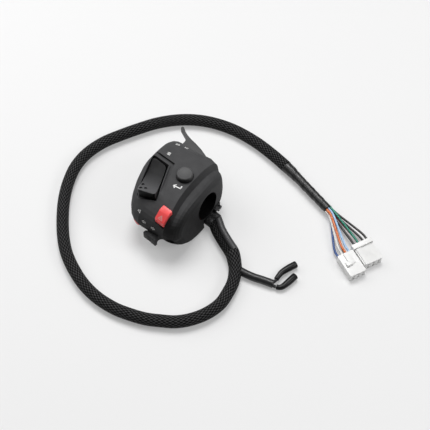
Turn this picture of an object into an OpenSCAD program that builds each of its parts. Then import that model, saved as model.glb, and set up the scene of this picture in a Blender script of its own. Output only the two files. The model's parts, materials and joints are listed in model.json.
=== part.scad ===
// Left-hand motorbike handlebar switch cluster with its wiring harness.
// X runs along the handlebar, +X to the inboard end where the cable leaves.
// Y runs across the panel, +Y to the lever side, -Y to the thumb side.
// Z stands on the panel. The origin is the centre of the bar bore.
// The cluster lies on its back on a table, with the harness in a loop round it.

/* [Handlebar] */
// Diameter of the handlebar
bar_d = 22.2; // [21.6:0.1:22.8]
// Radial clearance of the bore round the bar
bar_gap = 0.05; // [0:0.01:0.15]
// Wall of the saddle round the bar
saddle_wall = 2.2; // [1.8:0.1:2.6]

/* [Case] */
// Length of the case along the bar
case_l = 51; // [49:0.5:54]
// Height of the button panel over the bar axis
panel_z = 24; // [23.5:0.25:25]
// Reach of the case from the bar axis to the lever side
lever_reach = 24.5; // [24:0.25:26]
// Reach of the case from the bar axis to the thumb side
thumb_reach = 46.5; // [46:0.25:48]
// Undercut of the thumb-side wall below the bar axis
thumb_undercut = 1.75; // [1.5:0.25:2.5]
// Depth of the case behind the bar axis
back_z = 22.5; // [22:0.25:24]
// Depth at which the back is cut flat to rest on
rest_z = 21.5; // [21:0.25:21.75]
// Wall of the front case
wall = 2.4; // [2:0.1:2.6]
// Radius of the rounded outboard edge
edge_r = 6; // [4:0.5:7]
// Radius of the outboard corner on the lever side
corner_r = 8.5; // [7:0.5:10]
// Place along the bar where the panel ends and the inboard band begins
panel_x = 12.8; // [12.5:0.1:13.4]
// Width of the inboard band
band_w = 3; // [2:0.25:4]
// Bow of the band towards the inboard end, at the thumb side
band_lean = 7.6; // [7:0.2:8]
// Drop from the panel to the inboard drum
drum_drop = 4.5; // [3.5:0.25:5]
// Radius of the inboard nose edge
nose_r = 5; // [3.5:0.25:6]
// Rake of the inboard end, millimetres of length for each of height
end_rake = 0.085; // [0.05:0.005:0.1]
// Skew of the inboard end, millimetres of length for each towards the thumb side
end_skew = 0.12; // [0.06:0.01:0.14]
// Skew of the outboard end, millimetres of length for each towards the lever side
out_skew = 0.085; // [0.06:0.005:0.1]
// Flare of the lever-side wall towards the inboard end
lever_flare = 2.4; // [2:0.2:3]
// Taper of the thumb-side wall, millimetres of reach for each towards the inboard end
thumb_taper = 0.24; // [0.18:0.01:0.26]
// Step of the rear case back from the outboard end, and of the gland recess
rear_step = 1.5; // [1:0.25:2]
// Place of the seam between the cases on the thumb side
seam_y = -24; // [-24.5:0.25:-23.5]

/* [Menu rocker] */
// Width of the rocker
rocker_w = 13.2; // [12.5:0.1:13.4]
// Taper of the rocker's inboard side, each way from its middle
rocker_taper = 1.2; // [0.8:0.1:1.4]
// Length of the rocker
rocker_l = 30.5; // [29:0.25:31]
// Turn of the rocker on the panel, degrees
rocker_turn = 22; // [20:0.5:23]
// Rise of the rocker's thumb end over the panel
rocker_rise = 2.6; // [2:0.2:3]
// Radius of the scoop in the rocker
scoop_r = 36; // [34:1:44]
// Gap between the rocker and its well
rocker_gap = 1; // [0.9:0.05:1.2]
// More gap between the rocker and its well on the inboard and lever sides
well_more = 0.6; // [0.4:0.1:1]
// Diameter of the rocker's pin
rocker_pin_d = 2.2; // [1.8:0.1:2.4]
// Tilt of the rocker each way, degrees
rocker_tilt = 4; // [3:0.25:4]

/* [Buttons] */
// Diameter of the round button
enter_d = 12.5; // [11.5:0.25:13]
// Height of the round button over the panel
enter_rise = 4; // [3.4:0.2:4.4]
// Travel of the round button
enter_travel = 2; // [1.5:0.1:2.2]
// Width of the red key
hazard_w = 8.4; // [7.8:0.2:8.6]
// Length of the red key
hazard_l = 9.8; // [9:0.2:10]
// Travel of the red key
hazard_travel = 2.2; // [1.8:0.1:2.4]
// Diameter of the horn button
horn_d = 7.6; // [7:0.2:7.8]
// Travel of the horn button
horn_travel = 2.5; // [2:0.1:2.6]
// Sliding gap round every button
slide_gap = 0.3; // [0.2:0.05:0.4]

/* [Turn slider] */
// Width of the slider's knob
knob_w = 12; // [11:0.25:12.5]
// Height of the slider's knob
knob_h = 6.8; // [6:0.2:7.2]
// Reach of the knob past its channel floor
knob_reach = 12.75; // [12:0.25:13.5]
// Travel of the slider each way
turn_travel = 3.5; // [3:0.25:3.75]
// Travel of the knob when pushed in to cancel
cancel_travel = 1.5; // [1:0.1:1.6]

/* [Pass trigger] */
// Reach of the trigger's tip from its pin along the bar
trigger_reach = 35; // [33:0.5:37]
// Height of the trigger blade
trigger_h = 7; // [6:0.25:7.4]
// Diameter of the trigger's pin
trigger_pin_d = 2.4; // [2:0.1:2.6]
// Pull of the trigger, degrees
trigger_pull = 5; // [3:0.5:5]

/* [Fasteners] */
// Diameter of the clamp screws
screw_d = 4.8; // [4.5:0.1:5.2]
// Diameter of the clamp screw heads
screw_head_d = 8.4; // [8:0.2:8.8]
// Thickness of the contact boards
board_t = 1.4; // [1.2:0.1:1.6]

/* [Harness] */
// Diameter of the braided sleeve
braid_d = 9.4; // [8.5:0.1:10]
// Diameter of the main lead between gland and sleeve
lead_d = 5.8; // [5.4:0.2:6]
// Diameter of the side lead
side_d = 5.6; // [5:0.2:5.8]
// Diameter of the branch tube
branch_d = 5.6; // [5:0.2:6]
// Diameter of the taped tail
tail_d = 7.2; // [7.2:0.1:8]
// Diameter of one wire
wire_d = 1.75; // [1.5:0.05:1.75]
// Length of a plug housing
plug_l = 20; // [18:0.5:22]
// Height of a plug housing
plug_h = 7; // [6.5:0.25:8]
// Width of the five-way plug housing
plug_a_w = 13.5; // [13:0.25:14]
// Width of the flanged plug housing
plug_b_w = 15.5; // [14.5:0.25:16]

/* [Hidden] */
$fn = 48;
eps = 0.01;
half_l = case_l / 2;
bore_r = bar_d / 2 + bar_gap;
saddle_r = bore_r + saddle_wall;
table_z = -rest_z;

// Section of the case: four quarter curves about one crown point
crown_y = -8;
lever_half = lever_reach - crown_y;
thumb_half = thumb_reach + crown_y;
end_half = saddle_r + crown_y + 2.5;
top_pow = 2.2;
lever_pow = 3.4;
lever_crisp = 1.6;
low_pow = 2.2;
corner_pow = 2.4;
ring_n = 48;
drum_x = panel_x + band_w;
drum_side = 2.4;
nose_draft = 2;
bow_y = 12;
bow_l = 48;
skew_y = -25;

function unit(t) = max(0, min(1, t));
function fall(t) = sqrt(max(0, 1 - t * t));
function ramp(x, a, b) = unit((x - a) / (b - a));
function bow(t, p) = sign(t) * pow(abs(t), 2 / p);
function edge_cut(x, r) = r * (1 - fall(unit((r - half_l - x) / r)));
function nose_cut(x) = nose_r * (1 - fall(unit((x - half_l + nose_r) / nose_r)));
function drum_cut(x, drop, draft = nose_draft) =
    drop * ramp(x, panel_x, drum_x) + draft * ramp(x, drum_x, half_l) + nose_cut(x);
function flare_at(x) = ramp(x, -half_l / 2, panel_x / 2) - 0.9 * ramp(x, panel_x / 2, drum_x);
function lever_at(x) =
    lever_half + lever_flare * flare_at(x) - edge_cut(x, corner_r) 
        - drum_cut(x, drum_side / 2, nose_draft * 0.6);
function thumb_at(x) =
    x < 0 ? max(end_half, thumb_half * pow(max(0, 1 - pow(-x / half_l, corner_pow)), 1 / corner_pow))
        : thumb_half - thumb_taper * x - drum_cut(x, drum_side / 8);
function top_at(x) = panel_z - edge_cut(x, edge_r) - drum_cut(x, drum_drop);
function back_at(x) = back_z - edge_cut(x, edge_r) / 2 - nose_cut(x) / 2;
function lean_at(x) = band_lean * ramp(x, 0, panel_x) * (1 - ramp(x, drum_x, half_l));
function bow_at(y) = unit(pow((y - bow_y) / bow_l, 2));
function skew_at(x, y) = out_skew * (y - skew_y) * ramp(-x, 0, half_l);

// One ring of the case at x, drawn in by inset and flat at the back
function ring(x, inset, lean = 1) = [
    for (k = [0 : ring_n - 1])
        let (turn = 360 * k / ring_n,
             c = cos(turn),
             s = sin(turn),
             p = s < 0 ? low_pow : c < 0 ? top_pow + 0.4 * ramp(x, 0, panel_x)
                 : lever_pow + lever_crisp * ramp(x, -half_l / 2, panel_x),
             across = (c < 0 ? thumb_at(x) - (s < 0 ? thumb_undercut : 0) : lever_at(x)) - inset,
             high = (s < 0 ? back_at(x) : top_at(x)) - inset,
             y = crown_y + across * bow(c, p),
             z = max(inset - rest_z, high * bow(s, p)))
            [x - skew_at(x, y) + lean * lean_at(x) * bow_at(y)
                - (end_rake * z + end_skew * y) * ramp(x, drum_x, half_l), y, z]
];

// Closed skin over a list of rings that all have the same count of points
module skin(rings) {
    n = len(rings[0]);
    m = len(rings);
    polyhedron(
        points = [for (r = rings) each r],
        faces = concat(
            [[for (k = [0 : n - 1]) k]],
            [for (j = [0 : m - 2]) for (k = [0 : n - 1])
                [j * n + k, (j + 1) * n + k, (j + 1) * n + (k + 1) % n]],
            [for (j = [0 : m - 2]) for (k = [0 : n - 1])
                [j * n + k, (j + 1) * n + (k + 1) % n, j * n + (k + 1) % n]],
            [[for (k = [n - 1 : -1 : 0]) (m - 1) * n + k]]
        )
    );
}

out_shares = [1, 0.985, 0.95, 0.88, 0.79, 0.68, 0.52, 0.32, 0.1];
nose_turns = [0, 30, 60, 90];
outer_x = concat(
    [for (f = out_shares) -half_l * f],
    [panel_x / 2, panel_x, drum_x],
    [for (t = nose_turns) half_l - nose_r + nose_r * sin(t)]
);
inner_end = half_l - 1.7;
inner_x = concat(
    [for (f = [1, 0.9, 0.75, 0.55, 0.3]) -(half_l - wall) * f],
    [panel_x / 2, panel_x, drum_x]
);

module case_form() {
    skin([for (x = outer_x) ring(x, 0)]);
}

module bar_bore(r, l = 2 * case_l) {
    rotate([0, 90, 0]) cylinder(r = r, h = l, center = true);
}

// Rod along +X, used for gland and clip
module rod_x(r, x0, x1, y, z) {
    translate([x0, y, z]) rotate([0, 90, 0]) cylinder(r = r, h = x1 - x0);
}

// Plate with round corners, centred, standing on z
module round_plate(w, l, r, z0, z1) {
    translate([0, 0, z0]) {
        translate([-w / 2 + r, -l / 2, 0]) cube([w - 2 * r, l, z1 - z0]);
        translate([-w / 2, -l / 2 + r, 0]) cube([w, l - 2 * r, z1 - z0]);
        for (i = [-1, 1]) for (j = [-1, 1])
            translate([i * (w / 2 - r), j * (l / 2 - r), 0]) cylinder(r = r, h = z1 - z0);
    }
}

module box(x0, x1, y0, y1, z0, z1) {
    translate([x0, y0, z0]) cube([x1 - x0, y1 - y0, z1 - z0]);
}

// Outline in Y and Z, drawn out along +X
module slab_x(x0, x1, outline) {
    translate([x0, 0, 0]) rotate([90, 0, 90]) linear_extrude(x1 - x0) polygon(outline);
}

// Round wire wound upwards about Z
function coil_points(r, z0, z1, turns) = [
    for (i = [0 : 8 * turns])
        [r * cos(45 * i), r * sin(45 * i), z0 + (z1 - z0) * i / (8 * turns)]
];
module coil(r, wire_r, z0, z1, turns) {
    tube(coil_points(r, z0 + wire_r, z1 - wire_r, turns), wire_r, 6);
}

// Tube swept along points, with one radius or one for each point
function way(p, i) =
    let (a = p[max(0, i - 1)], b = p[min(len(p) - 1, i + 1)]) (b - a) / norm(b - a);
function side_of(t) = let (s = cross(t, [0, 0, 1])) s / norm(s);
function tube_ring(c, t, r, n) =
    let (s = side_of(t), u = cross(s, t))
    [for (k = [0 : n - 1]) c + r * (cos(360 * k / n) * s + sin(360 * k / n) * u)];
module tube(p, r, n) {
    skin([for (i = [0 : len(p) - 1]) tube_ring(p[i], way(p, i), is_list(r) ? r[i] : r, n)]);
}

// Smooth curve through hand-set points
function curve_at(p, i, t) =
    let (n = len(p) - 1,
         a = i == 0 ? 2 * p[0] - p[1] : p[i - 1],
         b = p[i],
         c = p[i + 1],
         d = i + 2 > n ? 2 * p[n] - p[n - 1] : p[i + 2])
    0.5 * (2 * b + (c - a) * t + (2 * a - 5 * b + 4 * c - d) * t * t
        + (3 * b - a - 3 * c + d) * t * t * t);
function curve(p, steps) = concat(
    [for (i = [0 : len(p) - 2]) for (k = [0 : steps - 1]) curve_at(p, i, k / steps)],
    [p[len(p) - 1]]
);

// Menu rocker, its lever end cut askew
rocker_x = -10.9;
rocker_y = -19.9;
rocker_left = 18.2;
rocker_right = 13.2;
rocker_floor = panel_z - 8.6;
rocker_tub = 2;
rocker_pin_z = rocker_floor - 3.2;
rocker_hub_w = 7;
rocker_hub_l = 9;
rocker_hub_z = rocker_pin_z - rocker_pin_d / 2 - 1.4;
rocker_lug_w = 3;
rocker_under = rocker_left * sin(rocker_tilt) + 0.72;
rocker_ledge = 4.3;
rocker_ledge_drop = 2;
bezel_w = 0.9;
scoop_y = 4;
scoop_z = panel_z - 3.1;
dimple_r = 1.2;
dimples = [[-4.8, -7.5], [-4.6, -12], [-1.2, -10.8]];
function scoop_at(y) = scoop_z + scoop_r - sqrt(scoop_r * scoop_r - pow(y - scoop_y, 2));

module rocker_place() {
    translate([rocker_x, rocker_y, 0]) rotate([0, 0, rocker_turn]) children();
}

// Outline of the rocker in plan, grown by out, with more on its inboard and lever sides
module rocker_plan(out, more = 0) {
    lean = (rocker_right - rocker_left) / rocker_w;
    up = (out + more) * sqrt(1 + lean * lean);
    x0 = -rocker_w / 2 - out;
    x1 = rocker_w / 2 + out + more;
    x2 = x1 - rocker_taper;
    polygon([[x0, -rocker_l / 2 - out], [x1 + rocker_taper, -rocker_l / 2 - out],
        [x2, rocker_left + lean * (x2 + rocker_w / 2) + up],
        [x0, rocker_left + lean * (x0 + rocker_w / 2) + up]]);
}
module rocker_prism(z0, z1, out, more = 0) {
    translate([0, 0, z0]) linear_extrude(z1 - z0) rocker_plan(out, more);
}

module rocker_tub_block() {
    rocker_place() {
        rocker_prism(rocker_floor - rocker_tub, 2 * panel_z, rocker_gap + rocker_tub, well_more);
        rocker_prism(panel_z - rocker_ledge_drop - rocker_tub, 2 * panel_z,
            rocker_gap + rocker_tub, rocker_ledge);
        for (i = [-1, 1])
            translate([i * (rocker_hub_w + rocker_lug_w + 2 * slide_gap) / 2, 0, 0])
                box(-rocker_lug_w / 2, rocker_lug_w / 2, -3, 3, rocker_hub_z, rocker_floor);
    }
}

module rocker_well() {
    rocker_place() {
        difference() {
            rocker_prism(panel_z - rocker_ledge_drop, 2 * panel_z, rocker_gap, rocker_ledge);
            difference() {
                rocker_prism(0, panel_z - rocker_ledge_drop / 3, rocker_gap + bezel_w, well_more);
                rocker_prism(-1, 2 * panel_z, rocker_gap, well_more);
            }
        }
        rocker_prism(rocker_floor, 2 * panel_z, rocker_gap, well_more);
        box(-rocker_hub_w / 2 - slide_gap, rocker_hub_w / 2 + slide_gap,
            -rocker_hub_l / 2 - 1, rocker_hub_l / 2 + 1, 0, 2 * panel_z);
        rod_x(rocker_pin_d / 2 + 0.05, -rocker_w / 2 - 1, rocker_w / 2 + 1, 0, rocker_pin_z);
    }
}

// Round button
enter_x = 6;
enter_y = -3.3;
enter_flange = 1.2;
enter_flange_t = 1.4;
enter_cap = 2.4;
enter_skin = 1.1;
pad_z = saddle_r + 0.3;
enter_plate_z = pad_z + 1.2;
enter_seat_z = panel_z - wall - slide_gap - 0.5;
enter_foot_z = enter_seat_z - enter_flange_t;
enter_top_z = panel_z + enter_rise;
enter_pad_l = 15.4;

// Red key, its top in two faces
hazard_x = half_l - 10;
hazard_y = 10 - thumb_reach;
hazard_ridge_y = hazard_y + 0.7;
hazard_flange = 0.7;
hazard_flange_t = 1.2;
board_z = rocker_hub_z - board_t - 1.3;
hazard_foot_z = board_z + board_t + hazard_travel + 1.6;

// Horn button, set square to the wall at its corner
thumb_room = (thumb_reach + seam_y) / 22.5;
horn_x = -7.2;
horn_y = 3.4 - thumb_reach;
horn_z = -4.5;
horn_turn = -10;
horn_out = 0.8;
horn_tab = 0.8;
horn_flange_t = 1.3;
horn_seat = 5 * thumb_room;
horn_stem_l = 7.6 * thumb_room;
horn_post_r = 2.1;

module horn_place() {
    translate([horn_x, horn_y, horn_z]) rotate([0, 0, horn_turn]) children();
}
// Rod of the horn button, from y0 to y1 along its own axis
module horn_rod(r, y0, y1) {
    horn_place() translate([0, y1, 0]) rotate([90, 0, 0]) cylinder(r = r, h = y1 - y0);
}

// Turn slider in its channel on the thumb-side wall
knob_x = 11.2;
knob_z = -4.2;
channel_y = 10.5 * thumb_room - thumb_reach;
channel_wall = 2;
channel_side = 1;
channel_in_x = 27;
channel_x = knob_x - knob_w / 2 - turn_travel - channel_side;
stem_w = 5;
stem_h = 3.6;
carriage_w = 15;
carriage_h = 9;
carriage_t = 3;
carriage_y = channel_y + channel_wall + slide_gap;
low_board_y = seam_y - 0.2 - board_t;
low_board_x = [-9, knob_x + 10];
rail_t = 1.5;

// Pass trigger on its upright pin
pin_x = 0;
pin_y = lever_reach - 4.3;
hub_r = 3.7;
trigger_z0 = 2.2;
trigger_z1 = trigger_z0 + trigger_h;
relief_gap = 0.4;
web_t = 2.8;
trigger_tip = [-trigger_reach, lever_reach + 12.4];
finger_lift = 2.6;
trigger_block_y = 12.6;
root_y = lever_reach - 1.7;
relief_y = root_y - 23.5 * sin(trigger_pull) - 0.55;
switch_x = -13;
switch_y = relief_y - 2.6;

// Clamp screws: one each side of the bar
clamp_places = [[13, 15.2], [-4, -17.6]];
boss_r = 4.6;
boss_top = 10;
head_z = -9;

// Cable gland below the bore
gland_z = -16.4;
gland_y = -1.3;
side_step = (lead_d + side_d) / 2 + 0.05;
gland_wall = 1;
gland_out = 8;
gland_end = half_l - rear_step;
gland_in = gland_end - 9;

// Space that the rear case takes out of the case's form
module rear_space(gap = 0) {
    box(-case_l, case_l, seam_y - gap, 2 * lever_reach, -2 * back_z, gap);
}

module clamp_bosses() {
    for (c = clamp_places) translate([c[0], c[1], 0]) cylinder(r = boss_r, h = boss_top);
}

// What stands solid inside the front case
module front_solids() {
    rail_z = carriage_h / 2 + slide_gap;
    bar_bore(saddle_r);
    clamp_bosses();
    rocker_tub_block();
    box(-2 * half_l, pin_x + hub_r + 3, trigger_block_y, 2 * lever_reach, 0, trigger_z1 + web_t);
    box(enter_x - enter_pad_l / 2, enter_x + enter_pad_l / 2,
        enter_y - enter_pad_l / 2, enter_y + enter_pad_l / 2, 0, pad_z);
    box(channel_x - 1.2, 2 * half_l, -2 * thumb_reach, carriage_y - slide_gap,
        knob_z - rail_z - rail_t, knob_z + rail_z + rail_t);
    for (z = [knob_z - rail_z - rail_t, knob_z + rail_z])
        box(knob_x - carriage_w / 2 - turn_travel, 2 * half_l,
            channel_y, carriage_y + carriage_t, z, z + rail_t);
    horn_rod(horn_d / 2 + slide_gap + 1.2, -12, horn_seat);
    for (p = board_posts) translate([p[0], p[1], board_z + board_t]) cylinder(r = 2.6, h = 2 * panel_z);
    for (x = [low_board_x[0] - 1.6, low_board_x[1] + 0.1])
        box(x, x + 1.5, low_board_y - 1.5, seam_y, -2 * back_z, 0);
}

// Relief for the trigger's hub and blade on the lever side
module trigger_relief() {
    z0 = trigger_z0 - relief_gap;
    z1 = trigger_z1 + relief_gap;
    translate([pin_x, pin_y, z0]) cylinder(r = hub_r + 0.5, h = z1 - z0);
    box(pin_x - hub_r - 0.5, pin_x + hub_r + 0.5, pin_y, 2 * lever_reach, z0, z1);
    box(-2 * half_l, pin_x, relief_y, 2 * lever_reach, z0, z1);
    box(switch_x - 4.4, switch_x + 4.4, switch_y - 3, lever_reach, z0 + 0.4, z1 - 0.4);
}

board_posts = [[-9, 13.5 - thumb_reach], [15, seam_y - 2.5], [3, 11 - thumb_reach]];

module front_case() {
    color("#303134") difference() {
        case_form();
        rear_space();
        difference() {
            skin(concat([for (x = inner_x) ring(x, wall)], [ring(inner_end, wall, 0)]));
            front_solids();
        }
        bar_bore(bore_r);
        rocker_well();
        translate([enter_x, enter_y, pad_z]) cylinder(r = enter_d / 2 + slide_gap, h = 2 * panel_z);
        box(hazard_x - hazard_w / 2 - slide_gap, hazard_x + hazard_w / 2 + slide_gap,
            hazard_y - hazard_l / 2 - slide_gap, hazard_y + hazard_l / 2 + slide_gap, board_z, 2 * panel_z);
        horn_rod(horn_d / 2 + slide_gap, -20, horn_stem_l + horn_travel);
        box(channel_x, channel_in_x, -2 * thumb_reach, channel_y,
            knob_z - knob_h / 2 - channel_side, knob_z + knob_h / 2 + channel_side);
        box(knob_x - stem_w / 2 - turn_travel - slide_gap, knob_x + stem_w / 2 + turn_travel + slide_gap,
            channel_y - 1, carriage_y, knob_z - stem_h / 2 - slide_gap, knob_z + stem_h / 2 + slide_gap);
        trigger_relief();
        translate([pin_x, pin_y, -eps]) cylinder(d = trigger_pin_d + 0.1, h = trigger_z1 + web_t);
        for (c = clamp_places) translate([c[0], c[1], -1]) cylinder(d = screw_d + 0.2, h = boss_top);
    }
}

// Outboard end of the rear case, stepped back from the front case
function rear_end(y) = rear_step - half_l - skew_at(-half_l, y);

module rear_case() {
    color("#2b2c2e") difference() {
        intersection() {
            case_form();
            translate([0, 0, -2 * back_z]) linear_extrude(2 * back_z) polygon([
                [rear_end(seam_y), seam_y], [2 * half_l, seam_y], [2 * half_l, 2 * lever_reach],
                [rear_end(2 * lever_reach), 2 * lever_reach]]);
        }
        bar_bore(bore_r);
        box(gland_end, 2 * half_l, gland_y - lead_d / 2 - 2.4, 2 * lever_reach, -2 * back_z, -bore_r - 0.2);
        for (c = clamp_places) translate([c[0], c[1], 0]) {
            translate([0, 0, -2 * back_z]) cylinder(d = screw_d + 0.2, h = 3 * back_z);
            translate([0, 0, head_z - 2 * back_z]) cylinder(d = screw_head_d + 0.6, h = 2 * back_z);
        }
        box(gland_end, 2 * half_l, clip_y0 - 3.5, 2 * lever_reach, -2 * back_z, clip_top + 0.3);
        gland_bore(gland_in);
    }
}

module clamp_screws() {
    color("#8d9094") for (c = clamp_places) translate([c[0], c[1], 0]) difference() {
        union() {
            translate([0, 0, head_z]) cylinder(d = screw_d, h = boss_top - head_z - 1.5);
            translate([0, 0, head_z - 3]) cylinder(d = screw_head_d, h = 3);
        }
        for (t = [0, 90]) translate([0, 0, head_z - 3]) rotate([0, 0, t]) cube([5, 1.1, 3], center = true);
    }
}

module contact_board() {
    color("#3f6b4a") difference() {
        union() {
            box(-12.6, hazard_x + 2.5, 8.9 - thumb_reach, seam_y + 3, board_z, board_z + board_t);
            box(-14.6, 6, seam_y, -15, board_z, board_z + board_t);
            box(hazard_x - 4.5, hazard_x + 3.4, 8 - thumb_reach, hazard_y + 4, board_z, board_z + board_t);
        }
        translate([clamp_places[1][0], clamp_places[1][1], 0]) cylinder(r = boss_r + 0.5, h = 2 * board_z);
        for (p = board_posts) translate([p[0], p[1], 0]) cylinder(r = 1, h = 2 * board_z);
    }
}

// Screws from below through the board into the posts
module board_screws() {
    color("#a9abad") for (p = board_posts) translate([p[0], p[1], 0]) {
        translate([0, 0, board_z - 1.2]) cylinder(r = 1.9, h = 1.2);
        translate([0, 0, board_z - 0.5]) cylinder(r = 0.95, h = board_t + 0.5);
    }
}

module menu_domes() {
    color("#8c8f92") rocker_place() for (j = [-1, 1]) translate([0, j * 3.2, board_z + board_t])
        rotate_extrude() polygon([[0, 0], [1.9, 0], [1.3, 0.5], [1, dome_h], [0, dome_h]]);
}
dome_h = rocker_hub_z - board_z - board_t - 0.75;

module menu_rocker() {
    foot = rocker_floor + rocker_under;
    color("#333437") rocker_place() difference() {
        union() {
            intersection() {
                rocker_prism(0, 2 * panel_z, 0);
                slab_x(-rocker_w, rocker_w, [
                    [rocker_left, foot + 0.4], [rocker_left, panel_z - 1],
                    [-rocker_l / 2 + 0.8, panel_z + rocker_rise],
                    [-rocker_l / 2, panel_z + rocker_rise - 0.8], [-rocker_l / 2, foot + 0.4], [0, foot]]);
            }
            box(-rocker_hub_w / 2, rocker_hub_w / 2, -rocker_hub_l / 2, rocker_hub_l / 2,
                rocker_hub_z, foot + 1);
        }
        translate([0, scoop_y, scoop_z + scoop_r]) bar_bore(scoop_r);
        rod_x(rocker_pin_d / 2 + 0.15, -rocker_w, rocker_w, 0, rocker_pin_z);
        for (d = dimples)
            translate([d[0], d[1], scoop_at(d[1]) - 1.6]) cylinder(r = dimple_r, h = 5, $fn = 24);
    }
}

module rocker_pin() {
    color("#b4b6b8") rocker_place() rod_x(rocker_pin_d / 2, -rocker_w / 2, rocker_w / 2, 0, rocker_pin_z);
}

module enter_button() {
    r = enter_d / 2;
    color("#2f3033") translate([enter_x, enter_y, 0]) rotate_extrude() polygon([
        [r - enter_skin, enter_foot_z], [r + enter_flange, enter_foot_z], [r + enter_flange, enter_seat_z],
        [r, enter_seat_z], [r, enter_top_z - 0.9], [r - 0.9, enter_top_z], [r - 2.2, enter_top_z - 0.25],
        [0, enter_top_z - 0.55], [0, enter_top_z - enter_cap], [r - enter_skin, enter_top_z - enter_cap]]);
}

module enter_spring() {
    color("#b9bbbd") translate([enter_x, enter_y, 0])
        coil(enter_d / 2 - 2.2, 0.4, enter_plate_z + 0.05, enter_top_z - enter_cap - 0.05, 5);
}

module enter_plate() {
    color("#3f6b4a") translate([enter_x, enter_y, 0]) {
        round_plate(enter_pad_l - 1, enter_pad_l - 1, 1.5, pad_z, enter_plate_z);
        translate([0, 0, enter_plate_z])
            cylinder(r = 2, h = enter_top_z - enter_cap - enter_travel - 0.4 - enter_plate_z);
    }
}

module hazard_key() {
    y0 = hazard_y - hazard_l / 2;
    y1 = hazard_y + hazard_l / 2;
    color("#d8262e") difference() {
        union() {
            slab_x(hazard_x - hazard_w / 2, hazard_x + hazard_w / 2, [
                [y0, hazard_foot_z], [y1, hazard_foot_z], [y1, panel_z - 1.4],
                [hazard_ridge_y, panel_z - 2.3], [hazard_ridge_y - 0.8, panel_z - 2.8],
                [y0 + 0.4, panel_z - 7.2], [y0, panel_z - 7.8]]);
            box(hazard_x - hazard_w / 2 - hazard_flange, hazard_x + hazard_w / 2 + hazard_flange,
                y0 + 5.2, y1, hazard_foot_z, hazard_foot_z + hazard_flange_t);
        }
        translate([hazard_x, hazard_y, 0]) cylinder(r = 3, h = hazard_foot_z + 3);
    }
}

module hazard_spring() {
    color("#b9bbbd") translate([hazard_x, hazard_y, 0])
        coil(2.2, 0.35, board_z + board_t + 0.05, hazard_foot_z + 2.95, 5);
}

module horn_button() {
    seat = horn_seat + slide_gap;
    color("#c9232b") horn_place() {
        rotate([90, 0, 0]) rotate_extrude() polygon([
            [0, -horn_stem_l], [2, -horn_stem_l], [2, -seat - horn_flange_t],
            [horn_d / 2, -seat - horn_flange_t],
            [horn_d / 2, horn_out - 0.7], [horn_d / 2 - 0.7, horn_out], [0, horn_out - 0.3]]);
        box(-1.5, 1.5, seat, seat + horn_flange_t, -horn_d / 2 - horn_tab, horn_d / 2 + horn_tab);
    }
}

// Knob, its flanks hollowed for the thumb
module turn_knob() {
    y0 = channel_y - slide_gap - cancel_travel;
    color("#2c2d2f") difference() {
        translate([knob_x, 0, knob_z]) {
            translate([0, 0, -knob_h / 2]) linear_extrude(knob_h) difference() {
                translate([-knob_w / 2, channel_y - knob_reach])
                    square([knob_w, knob_reach - slide_gap - cancel_travel]);
                for (i = [-1, 1])
                    translate([i * (knob_w / 2 + 1.8), channel_y - knob_reach + 5]) circle(r = 3.4);
            }
            box(-stem_w / 2, stem_w / 2, y0 - eps, carriage_y + carriage_t + 1.2, -stem_h / 2, stem_h / 2);
        }
        for (i = [-1 : 1]) translate([knob_x + i * 1.1, channel_y - knob_reach, 0])
            cylinder(r = 0.35, h = case_l, center = true);
    }
}

module turn_carriage() {
    color("#d9d6cc") difference() {
        translate([knob_x, 0, knob_z])
            box(-carriage_w / 2, carriage_w / 2, carriage_y, carriage_y + carriage_t,
                -carriage_h / 2, carriage_h / 2);
        translate([knob_x, 0, knob_z])
            box(-stem_w / 2 - 0.15, stem_w / 2 + 0.15, carriage_y - 1, 0,
                -stem_h / 2 - 0.15, stem_h / 2 + 0.15);
    }
}

// Springy bridge that wipes over the lower board
module turn_wiper() {
    y0 = carriage_y + carriage_t;
    y1 = low_board_y - 0.3;
    color("#c8a24a") translate([knob_x, 0, knob_z + stem_h / 2 + 0.5]) linear_extrude(1.6) polygon([
        [-6, y0], [6, y0], [6, y1 - 1], [5, y1], [4, y1 - 1], [4.6, y0 + 0.6],
        [-4.6, y0 + 0.6], [-4, y1 - 1], [-5, y1], [-6, y1 - 1]]);
}

module lower_board() {
    color("#3f6b4a") box(low_board_x[0], low_board_x[1], low_board_y, low_board_y + board_t,
        table_z + wall + 3.6, -0.6);
}

// Rubber post that the horn button presses
horn_in = horn_stem_l + horn_travel + 0.5;
module horn_dome() {
    x = horn_x - horn_in * sin(horn_turn);
    y = horn_y + horn_in * cos(horn_turn);
    color("#3a3b3d") translate([x, y + 0.8, horn_z]) rotate([-90, 0, 0]) {
        cylinder(r = horn_post_r, h = low_board_y - y - 0.8);
        translate([0, 0, low_board_y - y - 2]) cylinder(r = horn_post_r + 0.9, h = 1.2);
    }
}

// Trigger in plan: hub, root along the wall and a long finger
module trigger_plan() {
    tip = trigger_tip;
    difference() {
        union() {
            translate([pin_x, pin_y]) circle(r = hub_r);
            polygon([[pin_x + hub_r - 0.4, pin_y + 1.4], [pin_x + 2.4, lever_reach + 1.1],
                [-2.6, lever_reach + 4.4], [-9, lever_reach + 6.5], [-16, lever_reach + 7.9],
                [-22, lever_reach + 8.7], [-26, lever_reach + 9.6], [-30, lever_reach + 11.1],
                tip + [1.1, 1.1], tip + [-0.1, 0.7], tip + [-0.4, -0.3], tip + [0.4, -1.6],
                [-30, lever_reach + 8.8], [-26.8, lever_reach + 7.4], [-25, lever_reach + 6.3],
                [-24.1, lever_reach + 4.8], [-23.7, lever_reach + 3], [-23.6, root_y + 0.8],
                [-23, root_y], [pin_x - hub_r, root_y], [pin_x - hub_r, pin_y]]);
        }
        translate([pin_x, pin_y]) circle(d = trigger_pin_d + 0.3);
    }
}

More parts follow.
